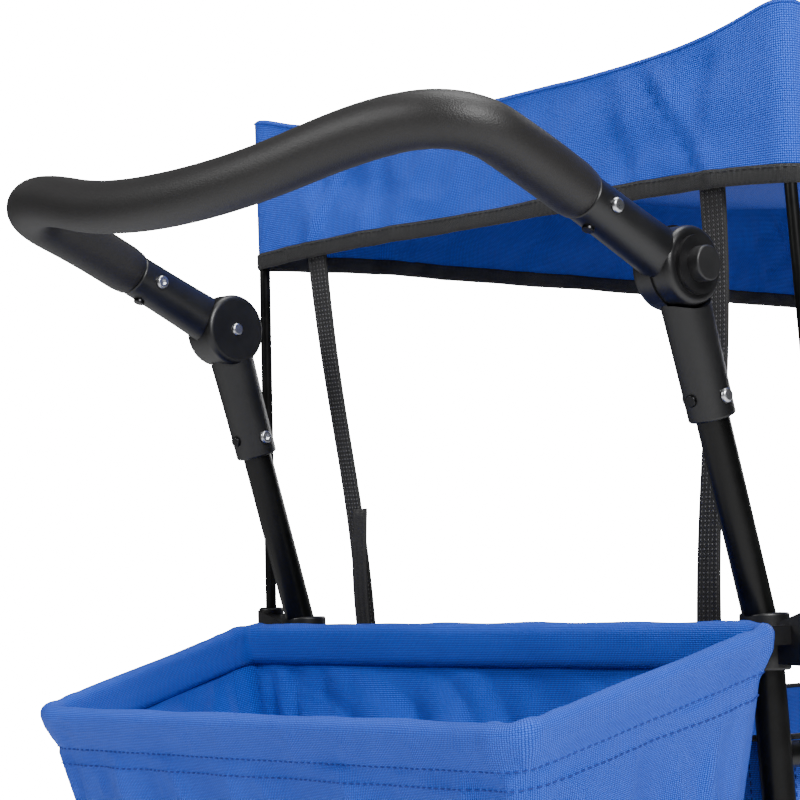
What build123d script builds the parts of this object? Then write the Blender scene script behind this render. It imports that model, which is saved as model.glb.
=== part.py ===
from build123d import *
from math import cos, radians, sin, tan
import os

# Folding pull wagon for children, with a push handle, a canopy on four poles and a rear basket.
# +X is forward, towards the pull handle, +Y is left and +Z is up.
# Lengths are millimetres. The body is drawn about x = 0 and moved on export, so that the origin
# is on the ground under the middle of the wagon's overall length.

os.makedirs("parts", exist_ok=True)

# ---------------------------------------------------------------- driving dimensions

HALF_WIDTH = 261.0  # centre lines of the uprights, from the middle plane
TUBE = 12.5  # outer radius of the 25 mm frame tube
TUBE_WALL = 1.5
BEND_Z = 600.0  # where the rear uprights bend
LEAN = 4.5  # uprights below the bend, degrees from vertical
PUSH_LEAN = 17.1  # rear uprights above the bend

HINGE = Vector(-513.0, HALF_WIDTH, 870.0)  # left hinge of the push handle
ARM_RISE = 24.6  # push handle's arms above horizontal, degrees
ARM_LENGTH = 106.7  # hinge axis to the end of the plastic arm
SOCKET_LENGTH = 112.8  # hinge axis to the end of the plastic socket
DISC = 30.5  # radius of the hinge discs
DISC_HALF = 17.8  # half thickness of the hinge
SLEEVE_HALF = 17.4  # half thickness of the hinge's sleeves
BAR = 11.0  # outer radius of the push bar
FOAM = 20.0  # outer radius of the foam grip
BUTTON = 13.0  # radius of the hinge button

FLOOR_REACH = 350.0  # fold pivots, fore and aft of the middle hinge
FLOOR_Z = 205.0  # height of the floor's fold pivots
RAIL_Z = 515.0  # height of the top rails
RAIL = 10.0  # radius of the top rails and floor tubes
RAIL_GAP = 42.0  # tube ends stop this far from a rail pivot
FLOOR_TUBE_Y = 205.0
WALL_TOP = 530.0
WALL_BOTTOM = 250.0

WHEEL = 90.0  # wheel radius
REAR_WHEEL_Y = 306.0  # middle of a rear wheel
REAR_WHEEL_WIDTH = 44.0
FRONT_WHEEL_WIDTH = 36.0
TRAIL = 32.0  # caster axle behind its swivel axis
CASTER_X = 402.0

CANOPY_BOTTOM, CANOPY_TOP = 938.5, 1066.0
CANOPY_X, CANOPY_Y = 440.0, 310.5  # half length and half width
CANOPY_CORNER = 11.0
CLOTH = 2.0
POLE = 4.8
POLE_BASE = Vector(-421.5, 318.0, 590.0)
POLE_KNEE = Vector(-431.8, 302.3, 932.0)
POLE_TOP = Vector(-429.0, 297.0, 1056.0)

RIM_FRONT = Vector(-467.0, 300.0, 607.0)  # left front corner of the basket rim
RIM_REAR = Vector(-701.0, 275.0, 548.0)  # left rear corner of the basket rim
HEM = 11.0  # radius of the rolled hem round the rim rod
ROD = 4.0
RIM_CORNER = 14.0

PULL_X, PULL_Z = 462.0, 245.0  # pull handle pivot
PULL_LEAN = 1.5  # stowed pull handle leans back this much
PULL_TUBE = 11.0
PULL_LENGTH = 430.0
SLIDER = 9.0  # radius of the telescopic inner tube
GRIP_START = 520.0  # along the pull handle, from its pivot

RUN = 0.05  # radial running clearance
BODY_AHEAD = 157.7  # middle of the body, ahead of the middle of the overall length

# ---------------------------------------------------------------- derived places


def upright_x(z):
    """Distance of the uprights' centre lines from x = 0 at height z, below the bend."""
    return bend_x - (BEND_Z - z) * tan(radians(LEAN))


def on_side(y):
    """Plane standing fore and aft at y: local x is +X, local y is +Z, and it faces -Y."""
    return Plane(origin=(0, y, 0), x_dir=(1, 0, 0), z_dir=(0, -1, 0))


def square_to(point, direction):
    """Plane square to a direction at a point, with its local x across the wagon."""
    return Plane(origin=point, x_dir=(0, 1, 0), z_dir=direction)


bend_x = -HINGE.X - (HINGE.Z - BEND_Z) * tan(radians(PUSH_LEAN))
socket_way = Vector(sin(radians(PUSH_LEAN)), 0, -cos(radians(PUSH_LEAN)))
arm_way = Vector(-cos(radians(ARM_RISE)), 0, sin(radians(ARM_RISE)))
pull_way = Vector(-sin(radians(PULL_LEAN)), 0, cos(radians(PULL_LEAN)))
pull_pivot = Vector(PULL_X, 0, PULL_Z)
axle_x = -upright_x(112)
origin_shift = Location((BODY_AHEAD, 0, 0))


def save(shape, name):
    """Label a finished piece, place it about the origin and write it."""
    piece = shape.moved(origin_shift)
    piece.label = name
    export_step(piece, f"parts/{name}.step")


def save_pair(shape, name):
    """Write the left piece as drawn and the right one as its mirror image."""
    save(shape, f"{name}_left")
    save(mirror(shape, about=Plane.XZ), f"{name}_right")


def both_sides(shape):
    """The left piece and its mirror image, as separate solids of one group."""
    return Part() + [shape, mirror(shape, about=Plane.XZ)]


def rod_along(points, radii, radius):
    """Solid round bar along straight runs joined by tangent arcs."""
    start = Vector(*points[0])
    way = Vector(*points[1]) - start
    with BuildPart() as bar:
        with BuildLine() as route:
            if radii:
                FilletPolyline(*points, radius=radii)
            else:
                Line(points[0], points[1])
        with BuildSketch(Plane(origin=start, z_dir=way)) as section:
            Circle(radius)
        sweep(sections=section.sketch, path=route.wire())
    return bar.part


def tube_along(points, radii, radius, bore):
    """Hollow round tube along straight runs joined by tangent arcs."""
    return rod_along(points, radii, radius) - rod_along(points, radii, bore)


def cylinder_y(x, z, y_low, y_high, radius):
    """Round bar lying across the wagon."""
    with BuildPart() as bar:
        with BuildSketch(on_side(y_high)):
            with Locations((x, z)):
                Circle(radius)
        extrude(amount=y_high - y_low)
    return bar.part


def link_plate(ends, radii, y_low, y_high):
    """Flat plate with rounded ends, standing fore and aft between two points."""
    (x_a, z_a), (x_b, z_b) = ends
    with BuildPart() as plate:
        with BuildSketch(on_side(y_high)):
            with Locations((x_a, z_a)):
                Circle(radii[0])
            with Locations((x_b, z_b)):
                Circle(radii[1])
            make_hull()
        extrude(amount=y_high - y_low)
    return plate.part


def group(*pieces):
    """Fuse pieces, drawn about the same frame, into one part."""
    whole = Part()
    for piece in pieces:
        whole = whole + piece
    return whole


# ---------------------------------------------------------------- uprights and crossbars

rear_route = [
    HINGE + socket_way * 40,
    Vector(-bend_x, HALF_WIDTH, BEND_Z),
    Vector(-upright_x(112), HALF_WIDTH, 112),
]
front_route = [
    Vector(bend_x + 1, HALF_WIDTH, BEND_Z + 14),
    Vector(upright_x(232), HALF_WIDTH, 232),
]
rear_core = rod_along(rear_route, [120], TUBE)
rear_bore = rod_along(rear_route, [120], TUBE - TUBE_WALL)
front_core = rod_along(front_route, None, TUBE)
front_bore = rod_along(front_route, None, TUBE - TUBE_WALL)

# The stub carries the outer plate and the pin of a top rail's end pivot.
stub_length = upright_x(RAIL_Z) - FLOOR_REACH - 16
with BuildPart() as rail_stub:
    with BuildSketch(Plane(origin=(FLOOR_REACH + 16, HALF_WIDTH, RAIL_Z), z_dir=(1, 0, 0))):
        Circle(RAIL)
    extrude(amount=stub_length)
stub_plate = link_plate(
    [(FLOOR_REACH, RAIL_Z), (FLOOR_REACH + 22, RAIL_Z)], [11, 7], HALF_WIDTH + 0.3, HALF_WIDTH + 7
)
stub_pin = cylinder_y(FLOOR_REACH, RAIL_Z, HALF_WIDTH - 7, HALF_WIDTH + 1, 4)
front_stub = group(rail_stub.part, stub_plate, stub_pin)
rear_stub = mirror(front_stub, about=Plane.YZ)

# Silver through bolts, one in each arm and each socket, and the black screws beside them.
socket_bolt_at = HINGE + socket_way * 97
arm_bolt_at = HINGE + arm_way * 88


def through_bolt(at):
    """Bolt across a sleeve: dome head outside, socket head with a hexagon inside."""
    outer = HALF_WIDTH + SLEEVE_HALF
    inner = HALF_WIDTH - SLEEVE_HALF
    with BuildPart() as bolt:
        add(cylinder_y(at.X, at.Z, inner - 0.1, outer + 0.1, 3))
        with BuildSketch(on_side(outer + 3.1)):
            with Locations((at.X, at.Z)):
                Circle(5.6)
        extrude(amount=3)
        fillet(bolt.edges().filter_by(GeomType.CIRCLE).sort_by(Axis.Y)[-1], 2.6)
        with BuildSketch(on_side(inner - 0.1)):
            with Locations((at.X, at.Z)):
                Circle(5.6)
        extrude(amount=3)
        fillet(bolt.edges().filter_by(GeomType.CIRCLE).sort_by(Axis.Y)[0], 1.6)
        with BuildSketch(on_side(inner - 1.1)):
            with Locations((at.X, at.Z)):
                RegularPolygon(2.6, 6)
        extrude(amount=4, mode=Mode.SUBTRACT)
    return bolt.part


def side_screw(at, way):
    """Small black pan-head screw into the side of a sleeve; way points out of the sleeve."""
    with BuildPart() as screw:
        with BuildSketch(square_to(at + way * 13.2, way)):
            Circle(2.2)
        extrude(amount=5)
        with BuildSketch(square_to(at + way * 17.2, way)):
            Circle(4.6)
        extrude(amount=3.2)
        fillet(screw.edges().filter_by(GeomType.CIRCLE).group_by(SortBy.RADIUS)[-1], 0.9)
    return screw.part


socket_bolt = through_bolt(socket_bolt_at)
arm_bolt = through_bolt(arm_bolt_at)
arm_under = Vector(-arm_way.Z, 0, arm_way.X)
socket_back = Vector(socket_way.Z, 0, -socket_way.X)
socket_screw = side_screw(HINGE + socket_way * 95, socket_back)
arm_screw = side_screw(HINGE + arm_way * 92, arm_under)
socket_hole = cylinder_y(socket_bolt_at.X, socket_bolt_at.Z, 240, 282, 3 + RUN)
arm_hole = cylinder_y(arm_bolt_at.X, arm_bolt_at.Z, 240, 282, 3 + RUN)

with BuildPart() as rear_upright:
    add(rear_core)
    add(rear_stub)
    add(rear_bore, mode=Mode.SUBTRACT)
    add(socket_hole, mode=Mode.SUBTRACT)
save_pair(rear_upright.part, "rear_upright")

with BuildPart() as front_upright:
    add(front_core)
    add(front_stub)
    add(front_bore, mode=Mode.SUBTRACT)
save_pair(front_upright.part, "front_upright")


def crossbar(x, z):
    """Tube between the uprights, its ends cut to meet them."""
    length = 2 * HALF_WIDTH
    with BuildPart() as bar:
        with BuildSketch(Plane(origin=(x, -HALF_WIDTH, z), z_dir=(0, 1, 0))):
            Circle(RAIL + 1)
            Circle(RAIL - 0.5, mode=Mode.SUBTRACT)
        extrude(amount=length)
    return bar.part


def clevis(plate_ends, radii):
    """Two plates that hold one floor pivot, with the pivot pin between them."""
    x, z = plate_ends[0]
    low = link_plate(plate_ends, radii, FLOOR_TUBE_Y - 9.3, FLOOR_TUBE_Y - 3.3)
    high = link_plate(plate_ends, radii, FLOOR_TUBE_Y + 3.3, FLOOR_TUBE_Y + 9.3)
    return group(low, high, cylinder_y(x, z, FLOOR_TUBE_Y - 9.3, FLOOR_TUBE_Y + 9.3, 4))


REAR_BAR_Z, FRONT_BAR_Z, UPPER_BAR_Z = 150.0, 245.0, 560.0
rear_bar_x = -upright_x(REAR_BAR_Z)
front_bar_x = upright_x(FRONT_BAR_Z)
rear_lugs = both_sides(clevis([(-FLOOR_REACH, FLOOR_Z), (rear_bar_x, REAR_BAR_Z)], [9, 12]))
front_foot = clevis([(FLOOR_REACH, FLOOR_Z), (front_bar_x, FLOOR_Z)], [8, 8])
front_riser = group(
    *[
        link_plate([(front_bar_x, FLOOR_Z), (front_bar_x, FRONT_BAR_Z)], [8, 12], low, low + 6)
        for low in (FLOOR_TUBE_Y - 9.3, FLOOR_TUBE_Y + 3.3)
    ]
)
pull_lug = link_plate([(PULL_X, PULL_Z), (front_bar_x, FRONT_BAR_Z)], [12, 12], 8, 13)
pull_clevis = group(both_sides(pull_lug), cylinder_y(PULL_X, PULL_Z, -13, 13, 5))

rear_cores = both_sides(rear_core)
housing_low, housing_high = 197.0, 261.0
with BuildPart() as housing_body:
    with BuildSketch(Plane.XY.offset(housing_low)):
        with Locations((CASTER_X, HALF_WIDTH)):
            Circle(20)
    extrude(amount=housing_high - housing_low)
    fillet(housing_body.faces().sort_by(Axis.Z)[-1].edges(), 3)
front_cores = both_sides(group(front_core, housing_body.part))
rear_bars = group(crossbar(rear_bar_x, REAR_BAR_Z), rear_lugs)
front_bars = group(crossbar(front_bar_x, FRONT_BAR_Z), both_sides(front_foot), both_sides(front_riser))
front_bars = group(front_bars, pull_clevis)
for name, low_bar, sign, cores, bar_x, bar_z in (
    ("rear", rear_bars, -1, rear_cores, rear_bar_x, REAR_BAR_Z),
    ("front", front_bars, 1, front_cores, front_bar_x, FRONT_BAR_Z),
):
    upper = crossbar(sign * upright_x(UPPER_BAR_Z), UPPER_BAR_Z) - cores
    lower = low_bar - cores - cylinder_y(bar_x, bar_z, -240, 240, RAIL - 0.5)
    save(group(upper, lower), f"{name}_crossbars")

# ---------------------------------------------------------------- push handle hinges

hinge_hole = cylinder_y(HINGE.X, HINGE.Z, 240, 268, 4 + RUN)


def sleeve(way, length, disc_y, seam_low, seam_high):
    """Rounded sleeve leaving the hinge, with a disc on one side and a hollow for the other."""
    with BuildPart() as body:
        for reach, half_height in ((6, 20.5), (60, 18.6), (length, 17.8)):
            with BuildSketch(square_to(HINGE + way * reach, way)):
                Ellipse(SLEEVE_HALF, half_height)
        loft()
        fillet(body.faces().sort_by(Axis(HINGE, way))[-1].edges(), 2)
        add(cylinder_y(HINGE.X, HINGE.Z, seam_low, seam_high, DISC + 0.7), mode=Mode.SUBTRACT)
        add(disc_y)
    return body.part


def hinge_disc(y_low, y_high, radius, outer_face):
    """Disc with one rounded rim."""
    with BuildPart() as disc:
        add(cylinder_y(HINGE.X, HINGE.Z, y_low, y_high, radius))
        rim = disc.edges().filter_by(GeomType.CIRCLE).sort_by(Axis.Y)[outer_face]
        fillet(rim, 5)
    return disc.part


seam = HALF_WIDTH
inner_disc = hinge_disc(seam - DISC_HALF, seam - 0.2, DISC, 0)
outer_disc = hinge_disc(seam + 0.2, seam + DISC_HALF, DISC - 1.5, -1)
socket_body = sleeve(socket_way, SOCKET_LENGTH, inner_disc, seam - 0.2, seam + 40)
arm_body = sleeve(arm_way, ARM_LENGTH, outer_disc, seam - 40, seam + 0.2)
socket_bore = rod_along([HINGE + socket_way * 40, HINGE + socket_way * 130], None, TUBE)
arm_bore = rod_along([HINGE + arm_way * 44, HINGE + arm_way * 130], None, BAR)

# The socket holds the upright's end and carries the hinge's inner disc.
with BuildPart() as hinge_socket:
    add(socket_body)
    add(socket_bore, mode=Mode.SUBTRACT)
    add(socket_hole, mode=Mode.SUBTRACT)
    add(socket_screw, mode=Mode.SUBTRACT)
    add(hinge_hole, mode=Mode.SUBTRACT)
save_pair(hinge_socket.part, "hinge_socket")

# The arm holds the push bar and carries the outer disc, with a raised ring round the button.
BUTTON_SEAT = 268.0
with BuildPart() as hinge_arm:
    add(arm_body)
    add(cylinder_y(HINGE.X, HINGE.Z, 275, 282.5, 21.5))
    add(cylinder_y(HINGE.X, HINGE.Z, BUTTON_SEAT, 290, BUTTON + RUN), mode=Mode.SUBTRACT)
    add(arm_bore, mode=Mode.SUBTRACT)
    add(arm_hole, mode=Mode.SUBTRACT)
    add(arm_screw, mode=Mode.SUBTRACT)
    add(hinge_hole, mode=Mode.SUBTRACT)
save_pair(hinge_arm.part, "hinge_arm")

with BuildPart() as hinge_button:
    add(cylinder_y(HINGE.X, HINGE.Z, BUTTON_SEAT + 8, 292, BUTTON))
    fillet(hinge_button.edges().filter_by(GeomType.CIRCLE).sort_by(Axis.Y)[-1], 1.8)
save_pair(hinge_button.part, "hinge_button")

# The hinge pin has a dome head on the inner face of the socket's disc.
with BuildPart() as hinge_pin:
    add(cylinder_y(HINGE.X, HINGE.Z, seam - DISC_HALF - 2.2, seam - DISC_HALF, 5.6))
    fillet(hinge_pin.edges().filter_by(GeomType.CIRCLE).sort_by(Axis.Y)[0], 2)
    add(cylinder_y(HINGE.X, HINGE.Z, seam - DISC_HALF, BUTTON_SEAT - 1, 4))
save(both_sides(hinge_pin.part), "hinge_pins")
save(both_sides(socket_bolt), "socket_bolts")
save(both_sides(arm_bolt), "arm_bolts")
save(both_sides(socket_screw), "socket_screws")
save(both_sides(arm_screw), "arm_screws")

# ---------------------------------------------------------------- push bar and foam grip

# Reach along the arms, distance from the middle plane, and drop below the arms' plane.
bar_bends = [(224.0, HALF_WIDTH, 0.0), (253.0, 201.0, 14.0), (282.0, 73.0, 55.0)]
bar_radii = [50.0, 250.0, 330.0]


def bar_point(reach, y, drop):
    """A point of the push bar's centre line."""
    middle = Vector(HINGE.X, y, HINGE.Z)
    return middle + arm_way * reach - Vector(0, 0, drop)


def bar_route(start):
    """The bar's centre line from one arm to the other, starting at a reach along the arms."""
    left = [bar_point(start, HALF_WIDTH, 0)] + [bar_point(*bend) for bend in bar_bends]
    right = [Vector(point.X, -point.Y, point.Z) for point in reversed(left)]
    return left + right


both_radii = bar_radii + bar_radii[::-1]
push_bar = tube_along(bar_route(46), both_radii, BAR, BAR - TUBE_WALL)
push_bar = push_bar - both_sides(arm_hole)
save(push_bar, "push_bar")
push_grip = tube_along(bar_route(ARM_LENGTH + 0.3), both_radii, FOAM, BAR + RUN)
save(push_grip, "push_grip")

# ---------------------------------------------------------------- canopy poles and brackets

pole_way = (POLE_KNEE - POLE_BASE).normalized()
rear_pole = rod_along([POLE_BASE, POLE_KNEE, POLE_TOP], [400], POLE)
front_pole = mirror(rear_pole, about=Plane.YZ)
save_pair(rear_pole, "canopy_pole_rear")
save(both_sides(front_pole), "canopy_poles_front")

def pole_bracket():
    """Plastic clamp on a rear upright with an arm out to the canopy pole's socket."""
    with BuildPart() as bracket:
        with BuildSketch(Plane.XY.offset(BEND_Z - 22)):
            with Locations((-bend_x, HALF_WIDTH)):
                Circle(18.5)
        extrude(amount=42)
        fillet(bracket.edges().filter_by(GeomType.CIRCLE), 2)
        with BuildSketch(Plane(origin=(-bend_x + 4, 0, 0), x_dir=(0, 1, 0), z_dir=(1, 0, 0))):
            with BuildLine():
                Polyline(
                    (HALF_WIDTH, 584), (POLE_BASE.Y, 580), (POLE_BASE.Y, 626), (HALF_WIDTH, 607), close=True
                )
            make_face()
        extrude(amount=11, both=True)
        with BuildSketch(Plane(origin=POLE_BASE - pole_way * 14, z_dir=pole_way)):
            Circle(11)
        extrude(amount=52)
        fillet(bracket.faces().sort_by(Axis.Z)[-1].edges(), 1.5)
    return bracket.part


HOOK_Y = 285.0
plain_bracket = pole_bracket()
front_mount = mirror(plain_bracket, about=Plane.YZ)
rim_hook = Pos(-448.0, HOOK_Y, RIM_FRONT.Z - 3) * Box(29, 12, 14)
hook_room = Pos(-448.0, HOOK_Y, RIM_FRONT.Z - 3) * Box(30, 13, 15)
save_pair(plain_bracket + rim_hook - rear_core - rear_pole, "pole_bracket_rear")
save(both_sides(front_mount - front_core - front_pole), "pole_brackets_front")

# ---------------------------------------------------------------- canopy and its straps

canopy_size = (2 * CANOPY_X, 2 * CANOPY_Y)
with BuildPart() as canopy:
    with BuildSketch(Plane.XY.offset(CANOPY_BOTTOM)):
        RectangleRounded(*canopy_size, CANOPY_CORNER)
    extrude(amount=CANOPY_TOP - CANOPY_BOTTOM)
    with BuildSketch(Plane.XY.offset(CANOPY_BOTTOM)):
        RectangleRounded(canopy_size[0] - 2 * CLOTH, canopy_size[1] - 2 * CLOTH, CANOPY_CORNER - CLOTH)
    extrude(amount=CANOPY_TOP - CANOPY_BOTTOM - CLOTH, mode=Mode.SUBTRACT)
save(canopy.part, "canopy")

STRAP_WIDTH, STRAP_THICK = 25.0, 1.6
upper_bar_x = -upright_x(UPPER_BAR_Z)
strap_low = Vector(upper_bar_x + RAIL + 2.1, 193.5, UPPER_BAR_Z)
strap_high = Vector(-434.0, 229.0, 958.0)
strap_way = (strap_high - strap_low).normalized()
with BuildPart() as strap:
    with BuildSketch(Plane(origin=strap_low, x_dir=(0, 1, 0), z_dir=strap_way)):
        Rectangle(STRAP_WIDTH, STRAP_THICK)
    extrude(amount=(strap_high - strap_low).length)
    with BuildSketch(on_side(strap_low.Y + STRAP_WIDTH / 2)):
        with Locations((upper_bar_x, UPPER_BAR_Z)):
            Circle(RAIL + 1.3 + STRAP_THICK)
            Circle(RAIL + 1.3, mode=Mode.SUBTRACT)
    extrude(amount=STRAP_WIDTH)
save_pair(strap.part, "canopy_strap_rear")
save(both_sides(mirror(strap.part, about=Plane.YZ)), "canopy_straps_front")

# ---------------------------------------------------------------- fabric walls

WALL = 4.0
wall_gap = TUBE + 0.5
side_gap = wall_gap + WALL + 3


def end_panel(sign, low):
    """Fabric wall across the wagon, just inside the uprights of one end."""
    with BuildPart() as panel:
        with BuildSketch(on_side(241)):
            with BuildLine():
                Polyline(
                    (sign * (upright_x(low) - wall_gap), low),
                    (sign * (upright_x(WALL_TOP) - wall_gap), WALL_TOP),
                    (sign * (upright_x(WALL_TOP) - wall_gap - WALL), WALL_TOP),
                    (sign * (upright_x(low) - wall_gap - WALL), low),
                    close=True,
                )
            make_face()
        extrude(amount=482)
    return panel.part


save(end_panel(-1, WALL_BOTTOM), "rear_panel")
save(end_panel(1, WALL_BOTTOM + 12), "front_panel")

with BuildPart() as side_panel:
    with BuildSketch(on_side(247)):
        with BuildLine():
            Polyline(
                (-upright_x(228) + side_gap, 228),
                (upright_x(228) - side_gap, 228),
                (upright_x(WALL_TOP) - side_gap, WALL_TOP),
                (-upright_x(WALL_TOP) + side_gap, WALL_TOP),
                close=True,
            )
        make_face()
    extrude(amount=WALL)
save_pair(side_panel.part, "side_panel")

# ---------------------------------------------------------------- folding floor

BOARD_LOW, BOARD_HIGH = FLOOR_Z + 2 * RAIL + 1, FLOOR_Z + 2 * RAIL + 19
BOARD_END = FLOOR_REACH + 30
BOARD_NOTCH_Y = FLOOR_TUBE_Y + 8
tube_z = FLOOR_Z + RAIL


def floor_board(sign):
    """Padded half of the floor, its end corners cut away round the pivots and the casters."""
    with BuildPart() as board:
        with BuildSketch(Plane.XY.offset(BOARD_LOW)):
            with Locations((sign * (BOARD_END + 1.5) / 2, 0)):
                Rectangle(BOARD_END - 1.5, 472)
            with Locations((sign * BOARD_END, BOARD_NOTCH_Y), (sign * BOARD_END, -BOARD_NOTCH_Y)):
                Rectangle(136, 46, mode=Mode.SUBTRACT)
        extrude(amount=BOARD_HIGH - BOARD_LOW)
    return board.part


def pivot_plate(sign, pivot_x, tube_x, y_low, y_high):
    """Plate from a floor pivot up to the end of a floor tube."""
    return link_plate([(sign * pivot_x, FLOOR_Z), (sign * tube_x, tube_z)], [9, 9.5], y_low, y_high)


def floor_frame(sign):
    """Two tubes and a cross tube under one half of the floor, with their pivot plates."""
    y = FLOOR_TUBE_Y
    side = rod_along([(sign * (FLOOR_REACH - 14), y, tube_z), (sign * 14, y, tube_z)], None, RAIL)
    side = side + pivot_plate(sign, FLOOR_REACH, FLOOR_REACH - 20, y - 3, y + 3)
    side = side - cylinder_y(sign * FLOOR_REACH, FLOOR_Z, y - 20, y + 20, 4 + RUN)
    if sign < 0:
        side = side + pivot_plate(sign, 0, 20, y - 3, y + 3)
        side = side - cylinder_y(0, FLOOR_Z, y - 20, y + 20, 4 + RUN)
    else:
        side = side + pivot_plate(sign, 0, 20, y - 9.3, y - 3.3) + pivot_plate(sign, 0, 20, y + 3.3, y + 9.3)
        side = side + cylinder_y(0, FLOOR_Z, y - 9.3, y + 9.3, 4)
    cross = cylinder_y(sign * FLOOR_REACH / 2, tube_z, -y, y, RAIL - 2)
    return group(side, mirror(side, about=Plane.XZ), cross)


for end, sign in (("rear", -1), ("front", 1)):
    save(floor_board(sign), f"floor_board_{end}")
    save(floor_frame(sign), f"floor_frame_{end}")

# ---------------------------------------------------------------- folding top rails

def top_rail(sign):
    """Half of a top rail: inner plates with holes, and at the rear half's middle end a pin."""
    y = HALF_WIDTH
    rail = rod_along(
        [(sign * (FLOOR_REACH - RAIL_GAP), y, RAIL_Z), (sign * RAIL_GAP, y, RAIL_Z)], None, RAIL
    )
    end_hole = 4 + RUN if sign < 0 else 5.0
    near_end = (sign * (FLOOR_REACH - RAIL_GAP - 2), RAIL_Z)
    near_middle = (sign * (RAIL_GAP + 2), RAIL_Z)
    rail = rail + link_plate([(sign * FLOOR_REACH, RAIL_Z), near_end], [11, 7], y - 7, y)
    rail = rail - cylinder_y(sign * FLOOR_REACH, RAIL_Z, y - 20, y + 20, end_hole)
    if sign < 0:
        rail = rail + link_plate([(0, RAIL_Z), near_middle], [11, 7], y + 0.3, y + 7)
        rail = rail + cylinder_y(0, RAIL_Z, y - 7, y + 1, 4)
    else:
        rail = rail + link_plate([(0, RAIL_Z), near_middle], [11, 7], y - 7, y)
        rail = rail - cylinder_y(0, RAIL_Z, y - 20, y + 20, 4 + RUN)
    return rail


save(both_sides(top_rail(-1)), "top_rails_rear")
save(both_sides(top_rail(1)), "top_rails_front")

# ---------------------------------------------------------------- basket

rim_run = RIM_REAR - RIM_FRONT
rim_length = (rim_run.X**2 + rim_run.Z**2) ** 0.5
down_slope = Vector(rim_run.X / rim_length, 0, rim_run.Z / rim_length)
rim_up = Vector(down_slope.Z, 0, -down_slope.X)
rim_plane = Plane(origin=(RIM_FRONT.X, 0, RIM_FRONT.Z), x_dir=(0, 1, 0), z_dir=rim_up)
BASKET_FLOOR = 375.0
BASKET_CLOTH = 3.0


def basket_body(inset):
    """Tapered bag from the sloping rim down to a level floor."""
    front, rear = RIM_FRONT.Y - inset, RIM_REAR.Y - inset
    with BuildPart() as bag:
        with BuildSketch(rim_plane):
            Polygon(
                (-front, inset), (front, inset), (rear, rim_length - inset), (-rear, rim_length - inset),
                align=None,
            )
        with BuildSketch(Plane.XY.offset(BASKET_FLOOR + inset)):
            with Locations((-568, 0)):
                Rectangle(190 - 2 * inset, 500 - 2 * inset)
        loft()
    return bag.part


def rim_ring(radius):
    """Closed round rod under the rim, with rounded corners."""
    with BuildPart() as ring:
        with BuildLine() as route:
            FilletPolyline(
                RIM_FRONT,
                RIM_REAR,
                Vector(RIM_REAR.X, -RIM_REAR.Y, RIM_REAR.Z),
                Vector(RIM_FRONT.X, -RIM_FRONT.Y, RIM_FRONT.Z),
                radius=RIM_CORNER,
                close=True,
            )
        path = route.wire()
        with BuildSketch(Plane(origin=path @ 0, z_dir=path % 0)) as section:
            Circle(radius)
        sweep(sections=section.sketch, path=path)
    return ring.part


basket = basket_body(0) - basket_body(BASKET_CLOTH) + rim_ring(HEM)
basket = basket - rim_ring(ROD + 0.1) - both_sides(hook_room)
save(basket, "basket")
save(rim_ring(ROD), "basket_frame")

# ---------------------------------------------------------------- wheels


def wheel_rim(x, y, width, bore):
    """Moulded wheel centre: hub, six spokes and a rim."""
    with BuildPart() as rim:
        with BuildSketch(on_side(y + width / 2 - 3)):
            with Locations((x, WHEEL)):
                Circle(70)
                Circle(63, mode=Mode.SUBTRACT)
        extrude(amount=width - 6)
        with BuildSketch(on_side(y + 6)):
            with Locations((x, WHEEL)):
                with PolarLocations(42, 6):
                    Rectangle(46, 11)
                Circle(24)
        extrude(amount=12)
        with BuildSketch(on_side(y + width / 2)):
            with Locations((x, WHEEL)):
                Circle(17)
        extrude(amount=width)
        with BuildSketch(on_side(y + width / 2)):
            with Locations((x, WHEEL)):
                Circle(bore)
        extrude(amount=width, mode=Mode.SUBTRACT)
    return rim.part


def wheel_tyre(x, y, width):
    """Solid foam-rubber tyre with rounded shoulders and a grooved tread."""
    with BuildPart() as tyre:
        add(cylinder_y(x, WHEEL, y - width / 2, y + width / 2, WHEEL))
        fillet(tyre.edges().filter_by(GeomType.CIRCLE), 8)
        add(cylinder_y(x, WHEEL, y - width, y + width, 70), mode=Mode.SUBTRACT)
        for offset in (-width / 5, width / 5):
            groove = cylinder_y(x, WHEEL, y + offset - 1.2, y + offset + 1.2, WHEEL + 2)
            groove = groove - cylinder_y(x, WHEEL, y - width, y + width, WHEEL - 2.5)
            add(groove, mode=Mode.SUBTRACT)
    return tyre.part


for end, x, y, width, bore in (
    ("rear", axle_x, REAR_WHEEL_Y, REAR_WHEEL_WIDTH, 6 + RUN),
    ("front", CASTER_X - TRAIL, HALF_WIDTH, FRONT_WHEEL_WIDTH, 5 + RUN),
):
    save_pair(wheel_rim(x, y, width, bore), f"{end}_rim")
    save_pair(wheel_tyre(x, y, width), f"{end}_tyre")

wheel_inner = REAR_WHEEL_Y - REAR_WHEEL_WIDTH / 2
wheel_outer = REAR_WHEEL_Y + REAR_WHEEL_WIDTH / 2
axle_end = group(
    cylinder_y(axle_x, WHEEL, 277, wheel_inner - 0.5, 10),
    cylinder_y(axle_x, WHEEL, wheel_outer + 0.5, wheel_outer + 5, 10),
)
axle = cylinder_y(axle_x, WHEEL, -wheel_outer - 2, wheel_outer + 2, 6)
save(group(axle, both_sides(axle_end)), "rear_axle")

# ---------------------------------------------------------------- rear wheel brackets and brakes

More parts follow.
